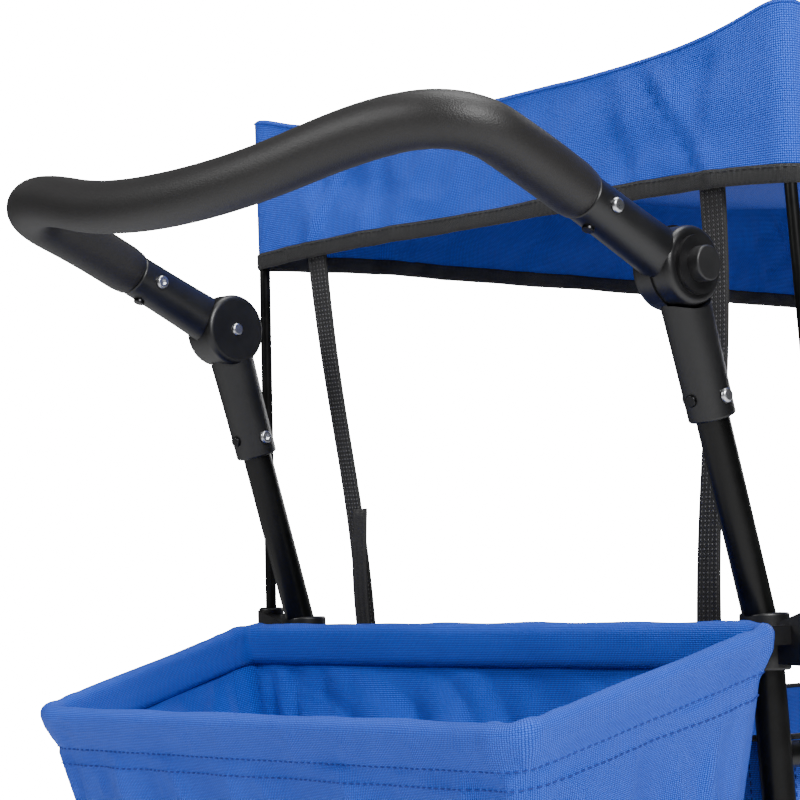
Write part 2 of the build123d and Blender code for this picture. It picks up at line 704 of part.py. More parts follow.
PEDAL_X, PEDAL_Z = -424.0, 118.0
with BuildPart() as wheel_bracket:
    with BuildSketch(Plane.XY.offset(66)):
        with Locations((axle_x, HALF_WIDTH)):
            RectangleRounded(42, 32, 6)
    extrude(amount=72)
    fillet(wheel_bracket.faces().sort_by(Axis.Z)[-1].edges(), 3)
    add(link_plate([(PEDAL_X, PEDAL_Z), (axle_x - 10, PEDAL_Z - 8)], [8, 12], 251.5, 255.5))
    add(link_plate([(PEDAL_X, PEDAL_Z), (axle_x - 10, PEDAL_Z - 8)], [8, 12], 266.5, 270.5))
    add(cylinder_y(PEDAL_X, PEDAL_Z, 252, 270, 3))
    add(rear_core, mode=Mode.SUBTRACT)
    add(cylinder_y(axle_x, WHEEL, 200, 300, 6), mode=Mode.SUBTRACT)
save_pair(wheel_bracket.part, "rear_wheel_bracket")

with BuildPart() as brake_pedal:
    with BuildSketch(Plane.XY.offset(PEDAL_Z - 11)):
        with Locations((PEDAL_X - 56, HALF_WIDTH)):
            RectangleRounded(34, 40, 8)
    extrude(amount=9)
    fillet(brake_pedal.faces().sort_by(Axis.Z)[-1].edges(), 2)
    add(link_plate([(PEDAL_X, PEDAL_Z), (PEDAL_X - 48, PEDAL_Z - 6)], [7, 4], 256.2, 265.8))
    add(cylinder_y(PEDAL_X, PEDAL_Z, 200, 300, 3 + RUN), mode=Mode.SUBTRACT)
save_pair(brake_pedal.part, "brake_pedal")

# ---------------------------------------------------------------- casters

STEM, CROWN_LOW, CROWN_HIGH = 7.0, 184.0, 195.0
LEG_INNER, LEG_OUTER = FRONT_WHEEL_WIDTH / 2 + 2, FRONT_WHEEL_WIDTH / 2 + 8
fork_x = CASTER_X - TRAIL
with BuildPart() as caster_fork:
    with BuildSketch(Plane.XY.offset(CROWN_LOW)):
        with Locations((CASTER_X - 11, HALF_WIDTH)):
            RectangleRounded(52, 2 * LEG_OUTER, 10)
    extrude(amount=CROWN_HIGH - CROWN_LOW)
    for low in (HALF_WIDTH - LEG_OUTER, HALF_WIDTH + LEG_INNER):
        ends = [(fork_x, WHEEL), (CASTER_X - 14, CROWN_LOW + 2)]
        add(link_plate(ends, [12, 9], low, low + LEG_OUTER - LEG_INNER))
    add(cylinder_y(fork_x, WHEEL, HALF_WIDTH - LEG_OUTER - 2, HALF_WIDTH + LEG_OUTER + 2, 5))
    with BuildSketch(Plane.XY.offset(CROWN_HIGH)):
        with Locations((CASTER_X, HALF_WIDTH)):
            Circle(STEM)
    extrude(amount=31)
save_pair(caster_fork.part, "caster_fork")

with BuildPart() as caster_housing:
    add(housing_body.part)
    with BuildSketch(Plane.XY.offset(CROWN_HIGH)):
        with Locations((CASTER_X, HALF_WIDTH)):
            Circle(STEM + RUN)
    extrude(amount=33, mode=Mode.SUBTRACT)
    add(front_core, mode=Mode.SUBTRACT)
save(both_sides(caster_housing.part), "caster_housings")

# ---------------------------------------------------------------- pull handle


def on_pull(reach):
    """A point of the stowed pull handle's centre line."""
    return pull_pivot + pull_way * reach


pull_foot = link_plate(
    [(PULL_X, PULL_Z), (on_pull(24).X, on_pull(24).Z)], [12, 11], -7.5, 7.5
)
pull_tube = rod_along([on_pull(18), on_pull(PULL_LENGTH)], None, PULL_TUBE)
pull_tube = pull_tube + rod_along([on_pull(PULL_LENGTH - 22), on_pull(PULL_LENGTH + 4)], None, 14.5)
pull_tube = pull_tube - rod_along([on_pull(40), on_pull(PULL_LENGTH + 9)], None, SLIDER + RUN)
pull_tube = pull_tube + pull_foot - cylinder_y(PULL_X, PULL_Z, -20, 20, 5 + RUN)
save(pull_tube, "pull_tube")
save(
    tube_along([on_pull(60), on_pull(GRIP_START + 12)], None, SLIDER, SLIDER - TUBE_WALL),
    "pull_slider",
)

grip_plane = Plane(origin=on_pull(GRIP_START), x_dir=(0, 1, 0), z_dir=(pull_way.Z, 0, -pull_way.X))
with BuildPart() as pull_grip:
    with BuildSketch(grip_plane):
        with Locations((0, 44)):
            RectangleRounded(122, 84, 26)
        with Locations((0, 48)):
            RectangleRounded(92, 50, 18, mode=Mode.SUBTRACT)
    extrude(amount=11, both=True)
    fillet(pull_grip.faces().sort_by(Axis.X)[-1].edges(), 5)
    fillet(pull_grip.faces().sort_by(Axis.X)[0].edges(), 5)
    add(rod_along([on_pull(GRIP_START - 20), on_pull(GRIP_START + 14)], None, 13.5))
    slot_end = on_pull(GRIP_START + 12)
    add(rod_along([on_pull(GRIP_START - 24), slot_end], None, SLIDER), mode=Mode.SUBTRACT)
save(pull_grip.part, "pull_grip")
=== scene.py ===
import math

import bmesh
import bpy
import numpy as np
from mathutils import Matrix, Vector, noise


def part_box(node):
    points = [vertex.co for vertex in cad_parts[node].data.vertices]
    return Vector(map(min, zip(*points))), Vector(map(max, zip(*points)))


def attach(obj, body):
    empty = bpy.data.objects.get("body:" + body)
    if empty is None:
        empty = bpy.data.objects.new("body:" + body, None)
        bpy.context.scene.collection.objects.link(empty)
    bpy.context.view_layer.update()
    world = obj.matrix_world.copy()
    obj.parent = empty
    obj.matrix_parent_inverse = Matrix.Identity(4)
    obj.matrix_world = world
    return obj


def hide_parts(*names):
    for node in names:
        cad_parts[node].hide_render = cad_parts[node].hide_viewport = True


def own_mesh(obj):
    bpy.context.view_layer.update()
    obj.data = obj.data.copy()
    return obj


# Folding pull wagon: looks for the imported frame. Metres, +X forward, +Y left, +Z up.

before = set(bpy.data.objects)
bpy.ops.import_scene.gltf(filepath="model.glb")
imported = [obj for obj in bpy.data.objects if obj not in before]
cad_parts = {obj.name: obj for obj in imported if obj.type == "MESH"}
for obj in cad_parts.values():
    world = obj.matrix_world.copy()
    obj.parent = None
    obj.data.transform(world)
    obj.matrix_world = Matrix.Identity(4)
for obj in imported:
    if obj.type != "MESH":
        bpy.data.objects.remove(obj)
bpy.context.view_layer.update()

canopy_low, canopy_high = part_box("canopy")
MIDDLE = (canopy_low.x + canopy_high.x) / 2  # the body's middle, ahead of the origin
HINGE = np.array((-0.513 + MIDDLE, 0.261, 0.870))  # left hinge of the push handle
ARM_RISE = math.radians(24.6)
ARM = np.array((-math.cos(ARM_RISE), 0.0, math.sin(ARM_RISE)))


def at(x, y, z):
    """A point given from the middle of the wagon's body."""
    return np.array((x + MIDDLE, y, z))


# ---------------------------------------------------------------- camera, light and floor


def make_camera():
    """Camera behind the right rear corner, level with the basket."""
    yaw, pitch, roll = math.radians(47.606), math.radians(1.092), math.radians(-1.612)
    forward = Vector(
        (math.cos(pitch) * math.cos(yaw), math.cos(pitch) * math.sin(yaw), math.sin(pitch))
    )
    level = Vector((math.sin(yaw), -math.cos(yaw), 0.0))
    right = level * math.cos(roll) + level.cross(forward) * math.sin(roll)
    up = right.cross(forward)
    focal, rise = 2538.0, 121.3
    ahead = (forward * focal + up * rise).normalized()
    up = right.cross(ahead)
    data = bpy.data.cameras.new("camera")
    data.sensor_width = 36.0
    data.lens = 36.0 * math.hypot(focal, rise) / 800.0
    data.clip_start, data.clip_end = 0.05, 60.0
    data.dof.use_dof = False
    camera = bpy.data.objects.new("camera", data)
    bpy.context.scene.collection.objects.link(camera)
    turn = Matrix((right, up, -ahead)).transposed().to_4x4()
    camera.matrix_world = Matrix.Translation(at(-1.88750, -1.46410, 0.65860)) @ turn
    bpy.context.scene.camera = camera


def area_light(name, place, target, size, power):
    """Large soft lamp aimed at a target."""
    data = bpy.data.lights.new(name, "AREA")
    data.shape = "RECTANGLE"
    data.size, data.size_y = size
    data.energy = power
    lamp = bpy.data.objects.new(name, data)
    bpy.context.scene.collection.objects.link(lamp)
    lamp.location = place
    lamp.rotation_euler = (Vector(target) - Vector(place)).to_track_quat("-Z", "Y").to_euler()


def make_studio():
    """White surroundings, four soft lamps and a plain pale floor."""
    world = bpy.data.worlds.new("studio")
    bpy.context.scene.world = world
    world.use_nodes = True
    tree = world.node_tree
    tree.nodes.clear()
    out = tree.nodes.new("ShaderNodeOutputWorld")
    mix = tree.nodes.new("ShaderNodeMixShader")
    path = tree.nodes.new("ShaderNodeLightPath")
    fill, seen = tree.nodes.new("ShaderNodeBackground"), tree.nodes.new("ShaderNodeBackground")
    fill.inputs["Color"].default_value = (0.93, 0.96, 1.0, 1)
    fill.inputs["Strength"].default_value = 0.09
    seen.inputs["Color"].default_value = (1, 1, 1, 1)
    seen.inputs["Strength"].default_value = 20.0
    tree.links.new(path.outputs["Is Camera Ray"], mix.inputs[0])
    tree.links.new(fill.outputs[0], mix.inputs[1])
    tree.links.new(seen.outputs[0], mix.inputs[2])
    tree.links.new(mix.outputs[0], out.inputs["Surface"])
    area_light("key", (-1.25, -3.0, 2.7), (0.0, 0.0, 0.8), (0.9, 0.9), 185)
    area_light("left", (-3.0, 0.9, 2.3), (-0.2, 0.0, 0.8), (0.8, 1.2), 60)
    area_light("top", (0.1, -0.2, 3.4), (0.0, 0.0, 0.5), (1.6, 1.6), 62)
    area_light("front", (3.2, 0.6, 1.9), (0.3, 0.0, 0.5), (1.6, 1.6), 40)
    mesh = bpy.data.meshes.new("studio_floor")
    turns = np.linspace(0, 2 * math.pi, 97)[:-1]
    mesh.from_pydata([(4 * math.cos(a), 4 * math.sin(a), -0.0006) for a in turns], [], [list(range(96))])
    floor = bpy.data.objects.new("studio_floor", mesh)
    bpy.context.scene.collection.objects.link(floor)
    material, _, _ = new_material("studio_floor_paint", (0.95, 0.95, 0.95), 0.9)
    mesh.materials.append(material)


# ---------------------------------------------------------------- materials


def new_material(name, colour, rough, **sockets):
    """Principled material with its plain values set on the shader."""
    material = bpy.data.materials.new(name)
    material.use_nodes = True
    tree = material.node_tree
    shader = tree.nodes["Principled BSDF"]
    shader.inputs["Base Color"].default_value = (*colour, 1)
    shader.inputs["Roughness"].default_value = rough
    for key, value in sockets.items():
        shader.inputs[key.replace("_", " ")].default_value = value
    return material, tree, shader


def math_node(tree, kind, first, second=None):
    """Math node on sockets or numbers."""
    node = tree.nodes.new("ShaderNodeMath")
    node.operation = kind
    for slot, value in enumerate((first, second)):
        if value is None:
            continue
        if isinstance(value, (int, float)):
            node.inputs[slot].default_value = value
        else:
            tree.links.new(value, node.inputs[slot])
    return node.outputs[0]


def noise_node(tree, scale, detail=3.0, rough=0.5, vector=None):
    """Noise in the object's own space."""
    node = tree.nodes.new("ShaderNodeTexNoise")
    node.inputs["Scale"].default_value = scale
    node.inputs["Detail"].default_value = detail
    node.inputs["Roughness"].default_value = rough
    if vector is None:
        vector = tree.nodes.new("ShaderNodeTexCoord").outputs["Object"]
    tree.links.new(vector, node.inputs["Vector"])
    return node.outputs["Fac"]


def ramp(tree, factor, stops):
    """Colour ramp of (position, colour) stops."""
    node = tree.nodes.new("ShaderNodeValToRGB")
    elements = node.color_ramp.elements
    while len(elements) < len(stops):
        elements.new(0.5)
    for element, (place, colour) in zip(elements, stops):
        element.position = place
        element.color = (*colour, 1)
    tree.links.new(factor, node.inputs["Fac"])
    return node.outputs["Color"]


def bump(tree, shader, height, distance, strength=1.0):
    """Bump from a height socket."""
    node = tree.nodes.new("ShaderNodeBump")
    node.inputs["Strength"].default_value = strength
    node.inputs["Distance"].default_value = distance
    tree.links.new(height, node.inputs["Height"])
    tree.links.new(node.outputs["Normal"], shader.inputs["Normal"])


def weave(name, dark, light, pitch, rough, depth, sheen=0.0, through=0.0):
    """Plain weave of thick yarns, drawn along the cloth's own lengthwise and crosswise directions, with
    painted shade in the gaps between the yarns.
    """
    material, tree, shader = new_material(name, light, rough, Sheen_Weight=sheen, Sheen_Roughness=0.45)
    shader.inputs["Specular IOR Level"].default_value = 0.32
    where = tree.nodes.new("ShaderNodeUVMap")
    split = tree.nodes.new("ShaderNodeSeparateXYZ")
    tree.links.new(where.outputs["UV"], split.inputs[0])
    warp = math_node(tree, "MULTIPLY", split.outputs["X"], 1 / pitch)
    weft = math_node(tree, "MULTIPLY", split.outputs["Y"], 1 / pitch)
    across = math_node(
        tree, "ABSOLUTE", math_node(tree, "SINE", math_node(tree, "MULTIPLY", warp, math.pi))
    )
    along = math_node(
        tree, "ABSOLUTE", math_node(tree, "SINE", math_node(tree, "MULTIPLY", weft, math.pi))
    )
    cell = math_node(tree, "ADD", math_node(tree, "FLOOR", warp), math_node(tree, "FLOOR", weft))
    over = math_node(tree, "FLOORED_MODULO", cell, 2.0)
    warp_up = math_node(tree, "MULTIPLY", across, math_node(tree, "SQRT", along))
    weft_up = math_node(tree, "MULTIPLY", along, math_node(tree, "SQRT", across))
    height_mix = tree.nodes.new("ShaderNodeMix")
    height_mix.data_type = "FLOAT"
    tree.links.new(over, height_mix.inputs[0])
    tree.links.new(warp_up, height_mix.inputs[2])
    tree.links.new(weft_up, height_mix.inputs[3])
    height = height_mix.outputs[0]
    patch = noise_node(tree, 9.0, 4.0, 0.6)
    yarn = noise_node(tree, 420.0, 2.0, 0.6)
    # Painted shade: the colour follows the yarns' height, so the gaps between yarns are painted darker
    # where shade falls; the patch and yarn noise add random tone.
    yarn_gap_shade = math_node(tree, "MULTIPLY", height, 0.85)
    tone = math_node(tree, "ADD", yarn_gap_shade, math_node(tree, "MULTIPLY", over, 0.16))
    tone = math_node(tree, "ADD", tone, math_node(tree, "MULTIPLY", patch, 0.22))
    tone = math_node(tree, "ADD", tone, math_node(tree, "MULTIPLY", yarn, 0.2))
    colour = ramp(tree, tone, [(0.25, dark), (1.0, light)])
    tree.links.new(colour, shader.inputs["Base Color"])
    worn = math_node(tree, "ADD", math_node(tree, "MULTIPLY", yarn, 0.16), rough - 0.08)
    tree.links.new(worn, shader.inputs["Roughness"])
    bump(tree, shader, height, depth)
    if through:
        glow = tree.nodes.new("ShaderNodeBsdfTranslucent")
        tree.links.new(colour, glow.inputs["Color"])
        blend = tree.nodes.new("ShaderNodeMixShader")
        blend.inputs[0].default_value = through
        tree.links.new(shader.outputs[0], blend.inputs[1])
        tree.links.new(glow.outputs[0], blend.inputs[2])
        tree.links.new(blend.outputs[0], tree.nodes["Material Output"].inputs["Surface"])
    return material


def moulded(name, colour, rough, grain, depth, **sockets):
    """Moulded plastic with a fine eroded grain and slight patches of gloss."""
    material, tree, shader = new_material(name, colour, rough, **sockets)
    fine = noise_node(tree, grain, 2.0, 0.7)
    soft = noise_node(tree, 26.0, 4.0, 0.6)
    gloss = math_node(tree, "ADD", math_node(tree, "MULTIPLY", soft, 0.18), rough - 0.09)
    tree.links.new(gloss, shader.inputs["Roughness"])
    light = tuple(min(1.0, c * 1.5 + 0.004) for c in colour)
    tree.links.new(ramp(tree, soft, [(0.3, colour), (0.8, light)]), shader.inputs["Base Color"])
    bump(tree, shader, fine, depth)
    return material


def foam_rubber(name):
    """Dark closed-cell foam with a skin of fine pores."""
    material, tree, shader = new_material(
        name, (0.03, 0.028, 0.028), 0.5, Sheen_Weight=0.02, Sheen_Roughness=0.5
    )
    pores = tree.nodes.new("ShaderNodeTexVoronoi")
    pores.inputs["Scale"].default_value = 900.0
    tree.links.new(tree.nodes.new("ShaderNodeTexCoord").outputs["Object"], pores.inputs["Vector"])
    speck = noise_node(tree, 1500.0, 2.0, 0.8)
    cloud = noise_node(tree, 14.0, 4.0, 0.6)
    specks = math_node(tree, "MULTIPLY", speck, 0.6)
    tone = math_node(tree, "ADD", specks, math_node(tree, "MULTIPLY", cloud, 0.5))
    colour = ramp(tree, tone, [(0.3, (0.0028, 0.0025, 0.0025)), (0.8, (0.011, 0.0098, 0.0095))])
    tree.links.new(colour, shader.inputs["Base Color"])
    height = math_node(tree, "ADD", pores.outputs["Distance"], specks)
    bump(tree, shader, height, 0.00016)
    return material


def plated(name, colour, rough):
    """Zinc-plated or bare metal with fine turning marks."""
    material, tree, shader = new_material(name, colour, rough, Metallic=1.0)
    marks = noise_node(tree, 700.0, 2.0, 0.7)
    soft = noise_node(tree, 60.0, 3.0, 0.6)
    dull = tuple(c * 0.72 for c in colour)
    tree.links.new(ramp(tree, soft, [(0.3, dull), (0.75, colour)]), shader.inputs["Base Color"])
    worn = math_node(tree, "ADD", math_node(tree, "MULTIPLY", marks, 0.2), rough - 0.1)
    tree.links.new(worn, shader.inputs["Roughness"])
    bump(tree, shader, marks, 0.00002)
    return material


def woven_tape(name, colour, light, pitch):
    """Heavy tape with a herringbone rib, with painted shade in its grooves."""
    material, tree, shader = new_material(name, colour, 0.7, Sheen_Weight=0.1, Sheen_Roughness=0.4)
    where = tree.nodes.new("ShaderNodeUVMap")
    split = tree.nodes.new("ShaderNodeSeparateXYZ")
    tree.links.new(where.outputs["UV"], split.inputs[0])
    zig = math_node(tree, "PINGPONG", split.outputs["X"], 2 * pitch)
    line = math_node(tree, "MULTIPLY", math_node(tree, "ADD", split.outputs["Y"], zig), 2 * math.pi / pitch)
    rib = math_node(tree, "MULTIPLY", math_node(tree, "ADD", math_node(tree, "SINE", line), 1.0), 0.5)
    rows = math_node(tree, "MULTIPLY", split.outputs["X"], math.pi / pitch)
    rib = math_node(tree, "MULTIPLY", rib, math_node(tree, "ABSOLUTE", math_node(tree, "SINE", rows)))
    # Painted shade: the colour follows the rib's height, darker in the grooves and between the rows where
    # shade falls; the noise adds random tone.
    tone = math_node(tree, "ADD", rib, math_node(tree, "MULTIPLY", noise_node(tree, 300.0), 0.3))
    tree.links.new(ramp(tree, tone, [(0.1, colour), (1.0, light)]), shader.inputs["Base Color"])
    bump(tree, shader, rib, 0.0005)
    return material


def make_materials():
    """Every material of the wagon by name."""
    # Each weave runs from its dark colour, which is the painted shade in the yarn gaps and its darker
    # random tone, up to the yarn's own colour.
    blue_dark, blue = (0.0015, 0.018, 0.30), (0.026, 0.150, 1.0)
    return {
        "blue": weave("blue_oxford", blue_dark, blue, 0.0014, 0.55, 0.0009, 0.06, 0.06),
        "black_cloth": weave(
            "black_oxford", (0.003, 0.003, 0.004), (0.016, 0.016, 0.018), 0.0013, 0.7, 0.0004, 0.06
        ),
        "binding": woven_tape("black_binding", (0.0015, 0.0015, 0.0015), (0.008, 0.008, 0.009), 0.0012),
        "webbing": woven_tape("black_webbing", (0.0015, 0.0015, 0.0015), (0.022, 0.021, 0.022), 0.0022),
        "plastic": moulded("black_plastic", (0.0025, 0.0025, 0.003), 0.4, 1400.0, 0.00008),
        "button": moulded("black_button", (0.006, 0.006, 0.0065), 0.48, 1100.0, 0.00008),
        "steel": moulded(
            "black_powder_coat", (0.0008, 0.0008, 0.0008), 0.3, 700.0, 0.00003, Specular_IOR_Level=0.22
        ),
        "foam": foam_rubber("foam_rubber"),
        "zinc": plated("zinc_plate", (0.66, 0.67, 0.69), 0.3),
        "screw": plated("black_screw", (0.035, 0.035, 0.037), 0.36),
        "grey": moulded("wheel_grey", (0.06, 0.062, 0.066), 0.45, 900.0, 0.00006),
        "tyre": moulded("tyre_rubber", (0.006, 0.006, 0.006), 0.78, 500.0, 0.0002),
        "thread": moulded("blue_thread", (0.003, 0.02, 0.2), 0.7, 3000.0, 0.00005),
        "dark_thread": moulded("black_thread", (0.02, 0.02, 0.022), 0.7, 3000.0, 0.00005),
        "pale_thread": moulded("pale_thread", (0.10, 0.10, 0.105), 0.7, 3000.0, 0.00005),
    }


# ---------------------------------------------------------------- mesh helpers


def finish_mesh(name, mesh, material):
    """Smooth-shaded object of one material."""
    mesh.materials.append(material)
    mesh.shade_smooth()
    piece = bpy.data.objects.new(name, mesh)
    bpy.context.scene.collection.objects.link(piece)
    return piece


def settle(piece):
    """Turns a piece's modifiers into plain mesh."""
    bpy.context.view_layer.update()
    shape = piece.evaluated_get(bpy.context.evaluated_depsgraph_get())
    mesh = bpy.data.meshes.new_from_object(shape)
    piece.modifiers.clear()
    piece.data = mesh
    mesh.shade_smooth()
    return piece


def thicken(piece, thickness, offset=-1.0, levels=0):
    """Gives a sheet its thickness, then rounds it off."""
    solid = piece.modifiers.new("solid", "SOLIDIFY")
    solid.thickness = thickness
    solid.offset = offset
    solid.use_even_offset = False
    if levels:
        piece.modifiers.new("round", "SUBSURF").levels = levels
    return settle(piece)


def sheet_mesh(name, rows, material, closed=False, flip=False):
    """Mesh over rows of points, with the cloth's own lengths as UV, in metres."""
    rows = np.asarray(rows, float)
    count, width = rows.shape[:2]
    looped = np.concatenate([rows, rows[:, :1]], axis=1) if closed else rows
    across = np.linalg.norm(np.diff(looped, axis=1), axis=2).mean(axis=0)
    along = np.linalg.norm(np.diff(rows, axis=0), axis=2).mean(axis=1)
    u = np.concatenate([[0], np.cumsum(across)])
    v = np.concatenate([[0], np.cumsum(along)])
    faces, corners = [], []
    for i in range(count - 1):
        for j in range(width if closed else width - 1):
            k = (j + 1) % width
            face = [i * width + j, i * width + k, (i + 1) * width + k, (i + 1) * width + j]
            spot = [(u[j], v[i]), (u[j + 1], v[i]), (u[j + 1], v[i + 1]), (u[j], v[i + 1])]
            if flip:
                face.reverse()
                spot.reverse()
            faces.append(face)
            corners.extend(spot)
    mesh = bpy.data.meshes.new(name)
    mesh.from_pydata(rows.reshape(-1, 3).tolist(), [], faces)
    mesh.uv_layers.new(name="UVMap").data.foreach_set("uv", np.asarray(corners).ravel())
    return finish_mesh(name, mesh, material)


def frames(path, closed=False):
    """Tangent, side and up of a line of points, turning as little as it can."""
    path = np.asarray(path, float)
    if closed:
        way = np.roll(path, -1, axis=0) - np.roll(path, 1, axis=0)
    else:
        way = np.gradient(path, axis=0)
    way /= np.linalg.norm(way, axis=1)[:, None]
    side = np.cross(way, (0.0, 0.0, 1.0))
    weak = np.linalg.norm(side, axis=1) < 1e-3
    side[weak] = (0.0, 1.0, 0.0)
    side /= np.linalg.norm(side, axis=1)[:, None]
    return way, side, np.cross(side, way)


def tube(name, path, radius, material, sides=24, closed=False, ends=True):
    """Round tube along a path; radius is a number or one value for each point."""
    path = np.asarray(path, float)
    _, side, up = frames(path, closed)
    radius = np.broadcast_to(np.asarray(radius, float), (len(path),))
    turns = np.linspace(0, 2 * math.pi, sides, endpoint=False)
    rings = [
        p + r * (np.cos(turns)[:, None] * s + np.sin(turns)[:, None] * t)
        for p, r, s, t in zip(path, radius, side, up)
    ]
    if closed:
        rings.append(rings[0])
    elif ends:
        rings.insert(0, np.repeat(path[:1], sides, axis=0))
        rings.append(np.repeat(path[-1:], sides, axis=0))
    piece = sheet_mesh(name, rings, material, closed=True)
    weld = piece.modifiers.new("weld", "WELD")
    weld.merge_threshold = 1e-6
    return settle(piece)


def ribbon(name, path, across, width, thickness, material, crown=0.0):
    """Flat tape along a path, across giving its width direction."""
    path, across = np.asarray(path, float), np.asarray(across, float)
    across = np.broadcast_to(across, path.shape)
    across = across / np.linalg.norm(across, axis=1)[:, None]
    way = np.gradient(path, axis=0)
    way /= np.linalg.norm(way, axis=1)[:, None]
    face = np.cross(way, across)
    spread = np.linspace(-0.5, 0.5, 7)
    rows = [
        p + spread[:, None] * width * a + (0.25 - spread[:, None] ** 2) * crown * f
        for p, a, f in zip(path, across, face)
    ]
    piece = sheet_mesh(name, rows, material)
    return thicken(piece, thickness, 0.0)


def chaikin(points, rounds=3, closed=False):
    """Smooth line inside the corners of a route."""
    points = np.asarray(points, float)
    for _ in range(rounds):
        nxt = np.roll(points, -1, axis=0) if closed else points[1:]
        here = points if closed else points[:-1]
        cut = np.stack([0.75 * here + 0.25 * nxt, 0.25 * here + 0.75 * nxt], axis=1).reshape(-1, 3)
        points = cut if closed else np.concatenate([points[:1], cut, points[-1:]])
    return points


def resample(path, step, closed=False):
    """Points at even distances along a line."""
    path = np.asarray(path, float)
    if closed:
        path = np.concatenate([path, path[:1]])
    far = np.concatenate([[0], np.cumsum(np.linalg.norm(np.diff(path, axis=0), axis=1))])
    count = max(2, int(round(far[-1] / step)))
    spots = np.linspace(0, far[-1], count + 1)
    if closed:
        spots = spots[:-1]
    return np.stack([np.interp(spots, far, path[:, i]) for i in range(3)], axis=1)


def outward(line):
    """Level outward directions of a closed line that runs clockwise from above."""
    way = np.roll(line, -1, axis=0) - np.roll(line, 1, axis=0)
    way /= np.linalg.norm(way, axis=1)[:, None]
    out = np.stack([-way[:, 1], way[:, 0], 0 * way[:, 0]], axis=1)
    return out / np.linalg.norm(out, axis=1)[:, None]


def stitches(name, path, out, material, length=0.0040, gap=0.0022, radius=0.0006, closed=False):
    """Row of short raised threads along a line, lying on a surface that faces out."""
    spots = resample(path, length + gap, closed)
    way = np.roll(spots, -1, axis=0) - spots if closed else np.gradient(spots, axis=0)
    way /= np.linalg.norm(way, axis=1)[:, None]
    out = np.asarray(out, float)
    if out.ndim > 1:
        pick = np.linspace(0, len(out) - 1, len(spots)).round().astype(int)
        out = out[pick]
    out = np.broadcast_to(out, spots.shape)
    vertices, faces = [], []
    for p, w, o in zip(spots, way, out):
        side = np.cross(w, o)
        side /= max(np.linalg.norm(side), 1e-9)
        base = len(vertices)
        for reach, size in ((-0.5, 0.35), (-0.3, 1.0), (0.3, 1.0), (0.5, 0.35)):
            for turn in range(6):
                a = turn * math.pi / 3
                lift = math.sin(a) * radius * size * 0.8 + radius * 0.25
                vertices.append(p + w * length * reach + side * math.cos(a) * radius * size + o * lift)
        for ring in range(3):
            for turn in range(6):
                k = (turn + 1) % 6
                low = base + ring * 6
                faces.append((low + turn, low + k, low + 6 + k, low + 6 + turn))
        faces.append(tuple(base + 5 - i for i in range(6)))
        faces.append(tuple(base + 18 + i for i in range(6)))
    mesh = bpy.data.meshes.new(name)
    mesh.from_pydata([tuple(v) for v in vertices], [], faces)
    return finish_mesh(name, mesh, material)


def ripple(point, size, seed=0.0):
    """Smooth noise from -1 to 1 with waves of a given size."""
    p = Vector(point) / size
    return noise.noise(p + Vector((seed * 17.3, seed * 5.1, seed * 9.7)))


def crinkle(point, size, seed=0.0):
    """Noise of soft hollows between narrow ridges, from -1 to 1."""
    return 1.0 - 4.0 * abs(ripple(point, size, seed)) ** 0.8


def hump(value, middle, spread):
    """Bell curve."""
    return math.exp(-(((value - middle) / spread) ** 2))


# ---------------------------------------------------------------- push handle


# Reach along the arm, distance from the middle, and drop of the bar's control points.
GRIP_BENDS = (
    (0.107, 0.261, 0.0),
    (0.162, 0.261, 0.0),
    (0.224, 0.262, -0.004),
    (0.253, 0.201, -0.014),
    (0.282, 0.073, -0.055),
)
GRIP_RADIUS = 0.0203
GRIP_END_RADII = (0.0160, 0.0190, 0.0196)  # the rounded end, from its rim inwards


def grip_line():
    """The push bar's centre line under the foam."""
    left = [HINGE * (1, 0, 1) + ARM * reach + np.array((0, y, sink)) for reach, y, sink in GRIP_BENDS]
    right = [p * (1, -1, 1) for p in reversed(left)]
    return resample(chaikin(left + right, 4), 0.006)


def push_grip(paint):
    """Foam sleeve over the push bar, a little uneven and rounded at its ends."""
    path = grip_line()
    count = len(path)
    size = np.full(count, GRIP_RADIUS)
    for i, p in enumerate(path):
        size[i] += 0.00035 * ripple(p, 0.09, 1.0)
    rim, shoulder, inner = GRIP_END_RADII
    size[1] = size[-2] = inner
    first = path[0] + (path[1] - path[0]) * 0.25
    last = path[-1] + (path[-2] - path[-1]) * 0.25
    path = np.concatenate([path[:1], [first], path[1:-1], [last], path[-1:]])
    size = np.concatenate([[rim, shoulder], size[1:-1], [shoulder, rim]])
    grip = tube("foam_grip", path, size, paint["foam"], sides=40, ends=False)
    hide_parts("push_grip")
    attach(grip, "push_handle")


# ---------------------------------------------------------------- canopy

CANOPY_LOW, CANOPY_HIGH = 0.9385, 1.0690
CANOPY_HALF = np.array((0.438, 0.3085))
PEAK = np.array((0.427, 0.295))  # the pole tops, under the corners
CORNER_RADIUS = 0.0115
TAPE = 0.0125  # how far the hem's binding reaches up the cloth
RING_STEPS = 20  # rows of cloth over the roof
EDGE_ROWS = ((0.0012, 0.0008), (0.0020, 0.0032))  # outward step and drop of the rolled edge's rows
# Slanted creases near the corners: reach, slant, spread and height.
CREASES = (
    (0.135, 0.065, 0.0065, 0.0042),
    (0.165, 0.02, 0.010, 0.0030),
    (0.060, -0.03, 0.012, 0.0030),
)


def roof_height(x, y):
    """Height of the stretched roof, x and y from its middle."""
    a, b = x / CANOPY_HALF[0], y / CANOPY_HALF[1]
    edge = 0.019 * (1 - b * b) + 0.026 * (1 - a * a)
    corner = math.hypot(abs(x) - PEAK[0], abs(y) - PEAK[1])
    peak = 0.012 * math.exp(-((corner / 0.05) ** 1.5))
    fold = 0.0016 * ripple((x, y, 0), 0.11, 2.0) + 0.0006 * ripple((x, y, 0), 0.035, 3.0)
    return CANOPY_HIGH - 0.010 - edge + peak + fold * (1 - math.exp(-corner / 0.05))


